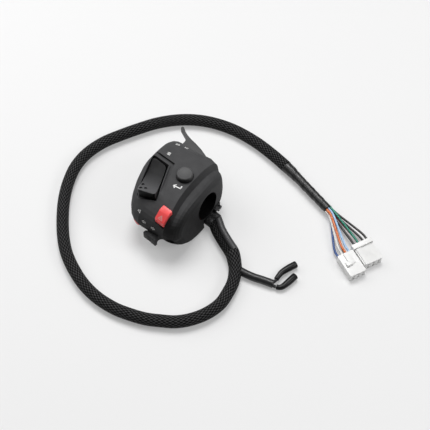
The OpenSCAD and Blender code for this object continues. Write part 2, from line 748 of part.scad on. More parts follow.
module pass_trigger() {
    color("#2e2f31") difference() {
        union() {
            translate([0, 0, trigger_z0]) linear_extrude(trigger_h) trigger_plan();
        }
        translate([0, 4 * lever_reach, 0]) rotate([90, 0, 0]) linear_extrude(4 * lever_reach)
            polygon([[-4 * half_l, 0], [-12, 0], [-12, trigger_z0], [-23, trigger_z0 + finger_lift],
                [-4 * half_l, trigger_z0 + finger_lift + 0.6]]);
        translate([pin_x, pin_y, trigger_z0 + trigger_h / 2]) cylinder(r = 2.9, h = trigger_h);
    }
}

module trigger_pin() {
    color("#b4b6b8") translate([pin_x, pin_y, 0]) cylinder(d = trigger_pin_d, h = trigger_z1 + web_t - 0.3);
}

module trigger_spring() {
    color("#b9bbbd") translate([pin_x, pin_y, 0])
        coil(2.1, 0.35, trigger_z0 + trigger_h / 2 + 0.2, trigger_z1, 3);
}

module trigger_switch() {
    color("#26282b") {
        box(switch_x - 4.3, switch_x + 4.3, switch_y - 2.9, switch_y + 2.6,
            trigger_z0 + 0.3, trigger_z1 - 0.3);
        translate([switch_x, switch_y + 2.6, (trigger_z0 + trigger_z1) / 2])
            rotate([-90, 0, 0]) cylinder(r = 1, h = 0.9);
    }
}

// Passage of the two leads through the rear case
module gland_bore(x0) {
    rod_x(lead_d / 2 + gland_wall, x0, 2 * half_l, gland_y, gland_z);
    rod_x(side_d / 2 + gland_wall, x0, 2 * half_l, gland_y + side_step, gland_z);
}

module cable_gland() {
    color("#1d1e20") difference() {
        union() {
            rod_x(lead_d / 2 + gland_wall - 0.05, gland_in + 0.1, gland_end + gland_out, gland_y, gland_z);
            rod_x(side_d / 2 + gland_wall - 0.05, gland_in + 0.1, gland_end + gland_out,
                gland_y + side_step, gland_z);
            rod_x(lead_d / 2 + gland_wall + 0.4, gland_end + 0.1, gland_end + 1.8, gland_y, gland_z);
            rod_x(side_d / 2 + gland_wall + 0.6, gland_end + 0.1, gland_end + 1.8,
                gland_y + side_step, gland_z);
        }
        for (i = [0 : 2]) translate([gland_end + 2.6 + 1.2 * i, 0, gland_z + lead_d / 2 + 0.7])
            cube([0.6, 4 * side_step, 1], center = true);
    }
}

// Hook on the rear case that keeps the side lead down
clip_y0 = gland_y + side_step + side_d / 2 + gland_wall + 0.9;
clip_screw_y = clip_y0 + 2.9;
clip_screw_z = gland_z + 1.6;
clip_top = gland_z + side_d / 2 + gland_wall + 2.1;
module cable_clip() {
    color("#232427") difference() {
        union() {
            box(gland_end, gland_end + 1.6, clip_y0, clip_y0 + 5, gland_z, clip_top);
            box(gland_end + 1, gland_end + 4.6, clip_y0 - 3.2, clip_y0 + 1.2, clip_top - 1.6, clip_top);
            box(gland_end + 3.4, gland_end + 4.6, clip_y0, clip_y0 + 1.2, gland_z + 1.6, clip_top);
        }
        rod_x(1.3, gland_end - 5, gland_end + 5, clip_screw_y, clip_screw_z);
    }
}

module clip_screw() {
    color("#8d9094") difference() {
        union() {
            rod_x(2.3, gland_end + 1.6, gland_end + 3.2, clip_screw_y, clip_screw_z);
            rod_x(1.2, gland_end + 0.1, gland_end + 2, clip_screw_y, clip_screw_z);
        }
        translate([gland_end + 3.2, clip_screw_y, clip_screw_z]) cube([1.2, 0.7, 5], center = true);
    }
}

// Harness route on the table, from the gland to the end of the taped tail
cord_z = table_z + braid_d / 2;
main_step = 2.85;
route = [
    [gland_end + gland_out, gland_y + main_step, gland_z], [40, -3, cord_z], [50, -7, cord_z],
    [60, -11, cord_z + 1.1], [67, -16, cord_z + 0.5],
    [72, -21, cord_z], [77, -29, cord_z], [80, -38, cord_z],
    [82, -49, cord_z],
    [80, -61, cord_z], [75, -72, cord_z], [68, -81, cord_z], [59, -88, cord_z], [50, -94, cord_z],
    [39, -99, cord_z], [27, -103, cord_z], [12, -105, cord_z], [-3, -104, cord_z], [-18, -100, cord_z],
    [-32, -94, cord_z], [-44, -86, cord_z], [-56, -75.5, cord_z], [-67, -64, cord_z], [-76, -52, cord_z],
    [-83, -39, cord_z], [-86.5, -28, cord_z], [-87.5, -16, cord_z], [-85.5, -2, cord_z],
    [-80.5, 12, cord_z],
    [-74.5, 26, cord_z], [-67.5, 40, cord_z], [-58, 53, cord_z], [-46, 64, cord_z], [-32, 72, cord_z],
    [-15, 77.5, cord_z], [4, 79.8, cord_z], [22, 79.4, cord_z], [39, 77.6, cord_z], [52, 75.4, cord_z],
    [65, 72.8, cord_z], [78, 70.2, cord_z], [89, 68, cord_z]
];
braid_from = 3;
braid_to = 37;
path_steps = 2;
path = curve(route, path_steps);
path_n = len(path) - 1;
function path_way(i) = i == 0 ? [1, 0, 0] : way(path, i);

// Tube over part a to b of the route, set off sideways by d
module route_tube(a, b, r, n, d = 0) {
    skin([for (i = [a : b])
        tube_ring(path[i] + d * side_of(path_way(i)), path_way(i), is_list(r) ? r[i - a] : r, n)]);
}

module main_lead() {
    color("#1b1c1e") route_tube(0, path_steps * braid_from, lead_d / 2, 10, main_step);
}
module side_lead() {
    color("#26272a") route_tube(0, path_steps * braid_from, side_d / 2, 10, main_step - side_step);
}

flare = [1.22, 1.16, 1.1, 1.04];
module braided_sleeve() {
    n = path_steps * (braid_to - braid_from);
    color("#1a1a1c") route_tube(path_steps * braid_from, path_steps * braid_to,
        [for (i = [0 : n]) braid_d / 2 * (i < len(flare) ? flare[i] : 1)], 12);
}
module taped_tail() {
    color("#161618") route_tube(path_steps * braid_to, path_n, tail_d / 2, 12);
}

// Branch that leaves the sleeve, with two leads in black boots
branch_z = table_z + branch_d / 2 + 0.2;
branch_route = [
    [70, -18.5, cord_z], [76, -17.6, cord_z - 1], [83.8, -14.9, branch_z],
    [91.8, -12.4, branch_z], [97.7, -10.43, branch_z]
];
boot_r = 2.7;
boot_z = table_z + boot_r + 0.1;
lead_r = 1.2;
boot_routes = [
    [[98.6, -5.2], [98, -2], [97.8, 2.5], [99.4, 9], [101.2, 14.8]],
    [[102.6, -9.9], [104.9, -8.6], [106.2, -5.6], [106.8, 0.5], [107.1, 6.7]]
];
boot_shares = [0.72, 0.74, 0.86, 1, 1];

module branch_tube() {
    color("#26272a") tube(branch_route, branch_d / 2, 10);
}
function boot_path(i) = [for (q = boot_routes[i]) [q[0], q[1], boot_z]];
function branch_way() = way(branch_route, len(branch_route) - 1);
function lead_route(i) =
    let (d = branch_way(),
         a = branch_route[4] + side_of(d) * (i == 0 ? -1.3 : 1.3),
         b = boot_path(i)[0],
         w = way(boot_path(i), 0))
    [a + 0.4 * d, a + 1.3 * d, b - 1.2 * w, b - 0.3 * w];
module branch_leads() {
    color("#1b1c1e") for (i = [0, 1]) tube(curve(lead_route(i), 3), lead_r, 8);
}
function boot_share(t) =
    let (i = min(3, floor(t))) boot_shares[i] + (boot_shares[i + 1] - boot_shares[i]) * (t - i);
module terminal_boots() {
    color("#151517") for (i = [0, 1])
        tube(curve(boot_path(i), 3), [for (k = [0 : 12]) boot_r * boot_share(k / 3)], 14);
}

// Plug housings and their wires
plug_turn = -21;
plug_a = [132.6, 41.2];
plug_b = [136.1, 56.35];
plug_b_l = plug_l - 3;
flange_w = plug_b_w + 1.2;
flange_t = 4;
plug_z = table_z + plug_h / 2;
plug_way = [cos(plug_turn), sin(plug_turn), 0];
plug_side = [-sin(plug_turn), cos(plug_turn), 0];
pin_w = 1.7;

module plug_place(c) {
    translate([c[0], c[1], table_z]) rotate([0, 0, plug_turn]) children();
}
// Row of square contact holes in the mating face, with the contacts left short
module contact_holes(l, w, count, z, depth, size) {
    for (i = [0 : count - 1])
        box(l / 2 - depth, l / 2 + 1, (i - (count - 1) / 2) * w / count - size / 2,
            (i - (count - 1) / 2) * w / count + size / 2, z - size / 2, z + size / 2);
}
module plug_body(l, w, h) {
    difference() {
        round_plate(l, w, 1, 0, h);
        for (z = [h * 0.3, h * 0.7]) contact_holes(l, w - 2, 3, z, 6, pin_w);
    }
}
module plug_a_housing() {
    color("#eeeeea") plug_place(plug_a) {
        plug_body(plug_l, plug_a_w, plug_h);
        box(-plug_l / 2 + 1, 1, -2.2, 2.6, plug_h, plug_h + 0.8);
        box(-1.5, 1.8, -4.8, 0.2, plug_h, plug_h + 1.6);
    }
}
module plug_b_housing() {
    color("#eeeeea") plug_place(plug_b) {
        plug_body(plug_b_l, plug_b_w, plug_h);
        box(-plug_b_l / 2 - flange_t / 2, -plug_b_l / 2 + flange_t / 2,
            -flange_w / 2, flange_w / 2, 0, plug_h + 1.4);
        box(-plug_b_l / 2 + flange_t / 2, plug_b_l / 2, -plug_b_w / 2 + 1, -3.2, plug_h, plug_h + 0.7);
    }
}
module plug_contacts() {
    color("#c9ccd0") {
        plug_place(plug_a) for (z = [plug_h * 0.3, plug_h * 0.7])
            contact_strip(plug_l, plug_a_w - 2, z);
        plug_place(plug_b) for (z = [plug_h * 0.3, plug_h * 0.7])
            contact_strip(plug_b_l, plug_b_w - 2, z);
    }
}
module contact_strip(l, w, z) {
    for (i = [-1 : 1]) translate([0, i * w / 3, z])
        box(l / 2 - 6, l / 2 - 1.5, -pin_w * 0.3, pin_w * 0.3, -pin_w * 0.3, pin_w * 0.3);
}

// Each wire: place in the tail's end, plug, place in the plug's rear face
tail_end = path[path_n];
tail_way = way(path, path_n);
tail_side = side_of(tail_way);
wires = [
    [[0.5, 0], "a", [2, 1.6]], [[1, -0.93], "a", [-4.8, 3]], [[1.5, 0], "a", [-2, 5.6]],
    [[1, 0.93], "a", [0.8, 6]], [[0, 0.93], "a", [3.8, 5.6]],
    [[0, -0.93], "b", [-4.4, 4]], [[-1, 0.93], "b", [-1.6, 6]], [[-0.5, 0], "b", [0.2, 2.2]],
    [[-1.5, 0], "b", [6.2, 5.2]], [[-1, -0.93], "b", [3.8, 3]]
];
wire_pitch = wire_d + 0.05;
function rear_of(w) = w[1] == "a" ? plug_l / 2 : plug_b_l / 2 + flange_t / 2;
function wire_start(w) = tail_end + wire_pitch * (w[0][0] * tail_side + w[0][1] * [0, 0, 1]);
function wire_end(w) =
    let (c = w[1] == "a" ? plug_a : plug_b)
    [c[0], c[1], table_z + w[2][1] * plug_h / 7] - rear_of(w) * plug_way + w[2][0] * plug_side;
function wire_route(w) =
    let (a = wire_start(w), b = wire_end(w), l = norm(b - a))
    [a, a + 0.04 * l * tail_way, a + 0.1 * l * tail_way + 0.1 * (b - a),
     b - 0.12 * l * plug_way - 0.1 * (b - a), b - 0.04 * l * plug_way, b];
module wire(i, shade) {
    color(shade) tube(curve(wire_route(wires[i]), 2), wire_d / 2, 8);
}
module wire_grey() { wire(0, "#8a8c90"); }
module wire_blue() { wire(1, "#27386b"); }
module wire_white() { wire(2, "#e4e4e0"); }
module wire_orange() { wire(3, "#d9763a"); }
module wire_sky() { wire(4, "#8fb3d6"); }
module wire_black() { wire(5, "#1c1c1e"); }
module wire_green() { wire(6, "#1f7a68"); }
module wire_maroon() { wire(7, "#7d3038"); }
module wire_brown() { wire(8, "#3a2a22"); }
module wire_ink() { wire(9, "#202224"); }

front_case();
rear_case();
clamp_screws();
contact_board();
board_screws();
menu_domes();
menu_rocker();
rocker_pin();
enter_button();
enter_spring();
enter_plate();
hazard_key();
hazard_spring();
horn_button();
horn_dome();
turn_knob();
turn_carriage();
turn_wiper();
lower_board();
pass_trigger();
trigger_pin();
trigger_spring();
trigger_switch();
cable_gland();
cable_clip();
clip_screw();
main_lead();
side_lead();
braided_sleeve();
taped_tail();
branch_tube();
branch_leads();
terminal_boots();
plug_a_housing();
plug_b_housing();
plug_contacts();
wire_grey();
wire_blue();
wire_white();
wire_orange();
wire_sky();
wire_black();
wire_green();
wire_maroon();
wire_brown();
wire_ink();
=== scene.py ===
# %% [markdown]
# # A handlebar switch cluster, dressed for its portrait
# The cluster is the block of switches that a rider's left thumb works. It clamps round the
# handlebar, and its harness loops round it on the table. The solids come from the imported model.
# Here each one gets its finish, and the soft pieces are made again in their full form.

# %% Load the imported model and group its parts into bodies
import json
import math
import bpy
import bmesh
from mathutils import Matrix, Vector
from mathutils.bvhtree import BVHTree

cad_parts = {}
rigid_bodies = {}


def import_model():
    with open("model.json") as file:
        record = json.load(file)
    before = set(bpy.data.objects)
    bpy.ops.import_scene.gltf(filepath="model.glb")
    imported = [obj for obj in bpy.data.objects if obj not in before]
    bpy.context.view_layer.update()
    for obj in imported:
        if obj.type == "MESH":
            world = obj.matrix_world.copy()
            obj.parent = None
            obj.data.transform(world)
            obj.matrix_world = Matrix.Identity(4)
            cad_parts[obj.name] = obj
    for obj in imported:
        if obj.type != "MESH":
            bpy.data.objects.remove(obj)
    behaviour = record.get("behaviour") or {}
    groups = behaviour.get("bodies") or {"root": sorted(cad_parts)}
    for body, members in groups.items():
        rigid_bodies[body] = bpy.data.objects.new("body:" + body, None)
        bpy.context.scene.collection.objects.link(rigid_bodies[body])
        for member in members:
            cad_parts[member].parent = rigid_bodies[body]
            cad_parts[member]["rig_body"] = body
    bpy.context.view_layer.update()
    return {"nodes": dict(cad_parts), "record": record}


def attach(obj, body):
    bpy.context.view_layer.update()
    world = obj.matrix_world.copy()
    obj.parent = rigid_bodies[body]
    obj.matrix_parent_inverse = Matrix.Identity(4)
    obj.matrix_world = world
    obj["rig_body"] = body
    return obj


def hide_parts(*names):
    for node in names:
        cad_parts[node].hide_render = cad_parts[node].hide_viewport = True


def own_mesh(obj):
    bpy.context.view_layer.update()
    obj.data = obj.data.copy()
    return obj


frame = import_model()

nodes = frame["nodes"]
slot_of = {part["node"]: part["material_slot"] for part in frame["record"]["subparts"]}
MM = 0.001
UP = Vector((0, 0, 1))
table = -21.5
print("nodes in the model:", len(nodes))

# %% [markdown]
# ## Camera
# The photograph looks down on the panel from the thumb side of the inboard end, about 57 degrees
# above the table. A long lens keeps the perspective mild. The camera's three axes are written out
# as columns of its matrix, so that its roll can't drift.

# %% Place the camera
azimuth, elevation = math.radians(42), math.radians(57)
camera_place = (0.3132, -0.3112, 0.6402)
right = Vector((math.cos(azimuth), math.sin(azimuth), 0))
back = Vector((math.sin(azimuth) * math.cos(elevation), -math.cos(azimuth) * math.cos(elevation),
               math.sin(elevation)))
up = back.cross(right)
camera = bpy.data.objects.new("camera", bpy.data.cameras.new("camera"))
camera.matrix_world = Matrix.Translation(camera_place) @ Matrix(
    (right, up, back)).transposed().to_4x4()
camera.data.lens = 85.4
camera.data.clip_start = 0.01
bpy.context.scene.collection.objects.link(camera)
bpy.context.scene.camera = camera
print("camera looks along", tuple(round(-c, 3) for c in back))

# %% [markdown]
# ## Routes of the harness
# A harness lies on the table under its own weight, so its middle line is a smooth curve at the
# height of its own radius. The points are the ones that the solids follow. A curve through all of
# them is read at small steps, because the weave on the sleeve needs short segments.

# %% A smooth curve through points in millimetres
def smooth_curve(points, steps):
    pts = [Vector(p) * MM for p in points]
    pts = [2 * pts[0] - pts[1]] + pts + [2 * pts[-1] - pts[-2]]
    line = []
    for a, b, c, d in zip(pts, pts[1:], pts[2:], pts[3:]):
        for k in range(steps):
            t = k / steps
            line.append(0.5 * (2 * b + (c - a) * t + (2 * a - 5 * b + 4 * c - d) * t * t
                               + (3 * b - a - 3 * c + d) * t ** 3))
    return line + [pts[-2]]


def length_of(line):
    return sum((b - a).length for a, b in zip(line, line[1:]))


def way_at(line, i):
    return (line[min(i + 1, len(line) - 1)] - line[max(i - 1, 0)]).normalized()


def shifted(line, sideways):
    """The same line, moved sideways on the table."""
    sides = [way_at(line, i).cross(UP).normalized() for i in range(len(line))]
    return [p + s * sideways * MM for p, s in zip(line, sides)]


# %% The route from the gland to the end of the tape
cord_z = -16.8
route = [(32, 1.55, -16.4), (40, -3, cord_z), (50, -7, cord_z), (60, -11, cord_z + 1.1),
         (67, -16, cord_z + 0.5)] + [(x, y, cord_z) for x, y in (
    (72, -21), (77, -29), (80, -38), (82, -49), (80, -61),
    (75, -72), (68, -81), (59, -88), (50, -94), (39, -99), (27, -103), (12, -105), (-3, -104),
    (-18, -100), (-32, -94), (-44, -86), (-56, -75.5), (-67, -64), (-76, -52), (-83, -39),
    (-86.5, -28), (-87.5, -16), (-85.5, -2), (-80.5, 12), (-74.5, 26), (-67.5, 40), (-58, 53),
    (-46, 64), (-32, 72), (-15, 77.5), (4, 79.8), (22, 79.4), (39, 77.6), (52, 75.4), (65, 72.8),
    (78, 70.2), (89, 68))]
fine = 16
sleeve_start, sleeve_end = 3 * fine, 37 * fine
whole = smooth_curve(route, fine)
lead_line = whole[:sleeve_start + 1]
sleeve_line = whole[sleeve_start:sleeve_end + 1]
tail_line = whole[sleeve_end:]
print("sleeve %.3f m, tail %.3f m" % (length_of(sleeve_line), length_of(tail_line)))

# %% [markdown]
# ## A tube that carries its own map
# Braid, tape and striped wire all have a pattern that follows the cord. A tube is made of circles
# that are set along the line and bridged, and each face corner keeps how far round and how far
# along the cord it is. The finishes read that map.

# %% Tube of rings with a map of round and along
def new_object(name, bm, finish=None):
    """An object at the origin. Its place is in its mesh."""
    mesh = bpy.data.meshes.new(name)
    bm.to_mesh(mesh)
    bm.free()
    obj = bpy.data.objects.new(name, mesh)
    bpy.context.scene.collection.objects.link(obj)
    if finish:
        obj.data.materials.append(finish)
    return obj


def tube(name, line, radius, sides, finish, body="housing"):
    """radius is in mm: a number, or a function of the distance along in metres and the share
    round."""
    bm = bmesh.new()
    along = [0.0]
    for a, b in zip(line, line[1:]):
        along.append(along[-1] + (b - a).length)
    rings = []
    for i, p in enumerate(line):
        t = way_at(line, i)
        s = t.cross(UP).normalized()
        place = Matrix.Translation(p) @ Matrix((s, s.cross(t), t)).transposed().to_4x4()
        ring = bmesh.ops.create_circle(bm, segments=sides, radius=MM, matrix=place)["verts"]
        for k, v in enumerate(ring):
            r = radius(along[i], k / sides) if callable(radius) else radius
            v.co = p + (v.co - p) * r
        rings.append(list({e for v in ring for e in v.link_edges}))
    bm.verts.index_update()
    for a, b in zip(rings, rings[1:]):
        bmesh.ops.bridge_loops(bm, edges=a + b)
    bmesh.ops.holes_fill(bm, edges=rings[0] + rings[-1], sides=0)
    bmesh.ops.recalc_face_normals(bm, faces=bm.faces)
    uv = bm.loops.layers.uv.new("cord")
    for f in bm.faces:
        f.smooth = len(f.verts) == 4
        ks = [loop.vert.index % sides for loop in f.loops]
        wraps = max(ks) - min(ks) > 1 and len(f.verts) == 4
        for loop, k in zip(f.loops, ks):
            share = 1.0 if wraps and k == 0 else k / sides
            loop[uv].uv = (share, along[loop.vert.index // sides])
    obj = new_object(name, bm, finish)
    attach(obj, body)
    return obj


# %% [markdown]
# ## Finishes
# Each finish is a shader with a fine bump for its surface and a roughness that drifts a little.
# Sizes are in metres, as the objects are, so a grain of a quarter of a millimetre needs a noise
# scale of about 4000.

# %% Helpers that make a finish
finishes = {}


def new_finish(name, colour, rough, metal=0.0, spec=0.5):
    m = finishes[name] = bpy.data.materials.new("finish_" + name)
    m.use_nodes = True
    shader = m.node_tree.nodes["Principled BSDF"]
    shader.inputs["Base Color"].default_value = (*colour, 1)
    shader.inputs["Roughness"].default_value = rough
    shader.inputs["Metallic"].default_value = metal
    shader.inputs["Specular IOR Level"].default_value = spec
    return m, m.node_tree, shader


def add(tree, kind, **values):
    n = tree.nodes.new(kind)
    for k, v in values.items():
        if hasattr(n, k):
            setattr(n, k, v)
        else:
            n.inputs[k.replace("_", " ")].default_value = v
    return n


def math_node(tree, operation, a, b=0.0):
    n = add(tree, "ShaderNodeMath", operation=operation)
    for socket, v in zip(n.inputs, (a, b)):
        if isinstance(v, (int, float)):
            socket.default_value = v
        else:
            tree.links.new(v, socket)
    return n.outputs[0]


def reach(tree, vector, way):
    """How far a place, or a wall's direction, reaches along a way."""
    n = add(tree, "ShaderNodeVectorMath", operation="DOT_PRODUCT")
    tree.links.new(vector, n.inputs[0])
    n.inputs[1].default_value = way
    return n.outputs["Value"]


def noise(tree, coords, scale, detail=2.0, rough=0.5):
    n = add(tree, "ShaderNodeTexNoise", Scale=scale, Detail=detail, Roughness=rough)
    tree.links.new(coords, n.inputs["Vector"])
    return n.outputs["Fac"]


def spread(tree, value, low, high, from_low=0.3, from_high=0.7):
    n = add(tree, "ShaderNodeMapRange", From_Min=from_low, From_Max=from_high,
            To_Min=low, To_Max=high)
    tree.links.new(value, n.inputs["Value"])
    return n.outputs["Result"]


def times(colour, factor):
    return tuple(c * factor for c in colour)


def blend_colour(tree, share, a, b):
    """a and b are colours, or the outputs of nodes that make one."""
    n = add(tree, "ShaderNodeMix", data_type="RGBA")
    tree.links.new(share, n.inputs["Factor"])
    for socket, c in ((n.inputs[6], a), (n.inputs[7], b)):
        if isinstance(c, tuple):
            socket.default_value = (*c, 1)
        else:
            tree.links.new(c, socket)
    return n.outputs[2]


def bump(tree, shader, height, depth, edge=0.0):
    """edge rounds the look of sharp edges by that radius, in metres."""
    n = add(tree, "ShaderNodeBump", Distance=depth, Strength=1.0)
    tree.links.new(height, n.inputs["Height"])
    tree.links.new(n.outputs["Normal"], shader.inputs["Normal"])
    if edge:
        rounded = add(tree, "ShaderNodeBevel", samples=6, Radius=edge)
        tree.links.new(rounded.outputs["Normal"], n.inputs["Normal"])


# %% Moulded plastic and plated metal
side_shade, side_facing = 0.25, (0.45, 0.85)
bore_shade, bore_edge = 0.08, 0.0003


def moulded(name, colour, rough, grain, depth, drift=0.06, lift=1.25, spec=0.5, edge=0.0,
            painted_shade_side=None, painted_shade_reach=None, painted_light_reach=None, painted_dark_bore=0.0):
    """Moulded plastic: an even grain, a slow drift of gloss, and a faint change of shade.
    Three shades can be added, all fixed to the object and chosen to match the photograph.
    Walls that face painted_shade_side are darker. With painted_shade_reach, a way and two distances along it in
    metres, that grows from the first distance to the second.
    painted_light_reach is the same, and how many times paler the surface is at the second distance.
    The inside of a bore of radius painted_dark_bore round the X axis is almost black."""
    m, tree, shader = new_finish(name, colour, rough, spec=spec)
    coords = add(tree, "ShaderNodeTexCoord").outputs["Object"]
    bump(tree, shader, noise(tree, coords, grain, 2.0, 0.55), depth, edge)
    slow = noise(tree, coords, 130, 3.0)
    tree.links.new(spread(tree, slow, rough - drift, rough + drift), shader.inputs["Roughness"])
    paler = tuple(min(1, c * lift) for c in colour)
    shade = blend_colour(tree, spread(tree, slow, 0, 1), colour, paler)
    # Painted light: the colour grows paler along a way, as a lit part of the surface would.
    if painted_light_reach:
        way, start, end, painted_light_times = painted_light_reach
        share = spread(tree, reach(tree, coords, way), 0, 1, start, end)
        shade = blend_colour(tree, share, shade, times(colour, painted_light_times))
    # Painted shade: walls that face one way are darkened in the colour, growing along a way if
    # one is given.
    if painted_shade_side:
        walls = add(tree, "ShaderNodeTexCoord").outputs["Normal"]
        share = spread(tree, reach(tree, walls, painted_shade_side), 0, 1, *side_facing)
        if painted_shade_reach:
            way, start, end = painted_shade_reach
            share = math_node(tree, "MULTIPLY", share,
                              spread(tree, reach(tree, coords, way), 0, 1, start, end))
        shade = blend_colour(tree, share, shade, times(colour, side_shade))
    # Painted shade: the inside of the bore is painted almost black.
    if painted_dark_bore:
        across = add(tree, "ShaderNodeVectorMath", operation="MULTIPLY")
        tree.links.new(coords, across.inputs[0])
        across.inputs[1].default_value = (0, 1, 1)
        away = add(tree, "ShaderNodeVectorMath", operation="LENGTH")
        tree.links.new(across.outputs["Vector"], away.inputs[0])
        outside = spread(tree, away.outputs["Value"], 0, 1, painted_dark_bore, painted_dark_bore + bore_edge)
        shade = blend_colour(tree, outside, times(colour, bore_shade), shade)
    tree.links.new(shade, shader.inputs["Base Color"])
    return m


def plated(name, colour, rough, grain=900, depth=0.00002):
    """Metal with faint drawing lines and patches of duller plating."""
    m, tree, shader = new_finish(name, colour, rough, metal=1.0)
    coords = add(tree, "ShaderNodeTexCoord").outputs["Object"]
    bump(tree, shader, noise(tree, coords, grain, 4.0), depth)
    tree.links.new(spread(tree, noise(tree, coords, 350), rough - 0.1, rough + 0.12),
                   shader.inputs["Roughness"])


# %% [markdown]
# The case is a black plastic with a moulded grain that scatters the light, so it looks dark grey
# where it is lit. The controls are smoother. The key and the horn button are coloured through.
# The photograph shows the end wall and the controls' sides darker than the panel, and the
# rocker's foot paler than its top, so these finishes carry such shades.

# %% Plastics, metals and boards
# Ways of the painted shade on the controls' sides and of the painted light along the rocker.
control_shade_side = (0.66, -0.75, 0)
rocker_light_way = (0.3746, -0.9272, 0)
# The case carries painted shade on its end wall, growing towards -Y, and painted shade in its
# bore.
moulded("case_black", (0.054, 0.054, 0.0555), 0.6, 3600, 0.00003, spec=0.1, edge=0.0005,
        painted_shade_side=(0.8, -0.55, 0.1), painted_shade_reach=((0, -1, 0), -0.014, 0.012), painted_dark_bore=0.0113)
# The controls' sides carry painted shade, and the rocker's foot is painted paler than its top, a
# painted light.
moulded("control_black", (0.062, 0.062, 0.063), 0.42, 3000, 0.000003, drift=0.03, lift=1.08,
        spec=0.2, painted_shade_side=control_shade_side)
rocker_black = moulded("rocker_black", (0.016, 0.016, 0.0165), 0.4, 3000, 0.000003, drift=0.03,
                       lift=1.08, spec=0.06, painted_shade_side=control_shade_side,
                       painted_light_reach=(rocker_light_way, 0.009, 0.025, 6.0))
moulded("key_red", (0.88, 0.085, 0.085), 0.36, 5200, 0.000008, lift=1.12)
moulded("switch_black", (0.02, 0.02, 0.022), 0.4, 4000, 0.00001)
moulded("slide_nylon", (0.66, 0.63, 0.55), 0.42, 3000, 0.00001)
moulded("plug_white", (0.77, 0.77, 0.76), 0.36, 2600, 0.00001, lift=1.06)
boot_black = moulded("boot_black", (0.004, 0.004, 0.0045), 0.32, 1200, 0.00002, spec=0.25)
knob_black = moulded("knob_black", (0.022, 0.022, 0.023), 0.5, 3000, 0.000006, spec=0.1)
gland_rubber = moulded("gland_rubber", (0.01, 0.01, 0.011), 0.55, 2400, 0.00001)
moulded("dome_rubber", (0.2, 0.2, 0.21), 0.6, 2400, 0.00002)
moulded("board_green", (0.035, 0.13, 0.06), 0.3, 1500, 0.00001, lift=1.4)
plated("zinc_steel", (0.6, 0.61, 0.62), 0.35)
plated("black_steel", (0.05, 0.05, 0.055), 0.42)
plated("spring_wire", (0.62, 0.63, 0.64), 0.3)
plated("contact_brass", (0.8, 0.6, 0.26), 0.32)
plated("contact_tin", (0.72, 0.73, 0.74), 0.3)
for node, slot in slot_of.items():
    if slot in finishes:
        nodes[node].data.materials.clear()
        nodes[node].data.materials.append(finishes[slot])
print("finishes:", len(finishes))

# %% [markdown]
# ## Rounded controls
# Moulded parts never have knife edges. A control starts as a copy of its solid: loose triangles
# are merged, flat faces joined again, and the edges that are left get a real bevel. Very short
# edges are welded first, because a bevel can't be wider than the shortest edge beside it.
#
# The big rocker also has soft corners in plan. Its copy is first trimmed to a prism whose four
# upright edges are round.

# %% Trim a solid's copy to a prism with round corners
prism_foot, prism_height = -0.01, 0.05


def prism(corners, radius, turn, place):
    bm = bmesh.new()
    foot = [bm.verts.new((x * MM, y * MM, prism_foot)) for x, y in corners]
    bmesh.ops.contextual_create(bm, geom=foot)
    bmesh.ops.bevel(bm, geom=bm.verts[:], offset=radius * MM, offset_type="OFFSET", segments=6,
                    profile=0.5, affect="VERTICES", material=-1)
    top = bmesh.ops.extrude_face_region(bm, geom=bm.faces[:])["geom"]
    bmesh.ops.translate(bm, vec=(0, 0, prism_height),
                        verts=[v for v in top if isinstance(v, bmesh.types.BMVert)])
    bmesh.ops.recalc_face_normals(bm, faces=bm.faces)
    bmesh.ops.transform(bm, verts=bm.verts, matrix=Matrix.Translation(Vector(place) * MM)
                        @ Matrix.Rotation(math.radians(turn), 4, "Z"))
    return bm


def trimmed(bm, shape):
    pair = [new_object("trim", part) for part in (bm, shape)]
    cut = pair[0].modifiers.new("trim", "BOOLEAN")
    cut.operation, cut.object, cut.solver = "INTERSECT", pair[1], "EXACT"
    bpy.context.view_layer.update()
    result = bmesh.new()
    result.from_object(pair[0], bpy.context.evaluated_depsgraph_get())
    for obj in pair:
        bpy.data.meshes.remove(obj.data)
    return result


# %% Round the edges of a solid's copy
flat_angle, sharp_angle, smooth_angle = (math.radians(a) for a in (0.5, 38, 32))


def merged_copy(node):
    bm = bmesh.new()
    bm.from_mesh(nodes[node].data)
    bmesh.ops.remove_doubles(bm, verts=bm.verts, dist=2e-6)
    return bm


def rounded(node, width, finish, weld, shape=None):
    bm = merged_copy(node)
    if shape:
        bm = trimmed(bm, shape)
    bmesh.ops.dissolve_limit(bm, angle_limit=flat_angle, use_dissolve_boundaries=False,
                             verts=bm.verts, edges=bm.edges)
    bmesh.ops.remove_doubles(bm, verts=bm.verts, dist=weld * MM)
    bmesh.ops.dissolve_degenerate(bm, dist=1e-6, edges=bm.edges)
    sharp = [e for e in bm.edges if len(e.link_faces) == 2 and e.calc_face_angle(0) > sharp_angle]
    bmesh.ops.bevel(bm, geom=sharp, offset=width * MM, offset_type="OFFSET", segments=3,
                    profile=0.5, affect="EDGES", material=-1, clamp_overlap=True)
    for f in bm.faces:
        f.smooth = True
    for e in bm.edges:
        e.smooth = len(e.link_faces) < 2 or e.calc_face_angle(0) < smooth_angle
    obj = new_object(node + "_rounded", bm, finish)
    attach(obj, nodes[node]["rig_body"])
    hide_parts(node)
    return obj


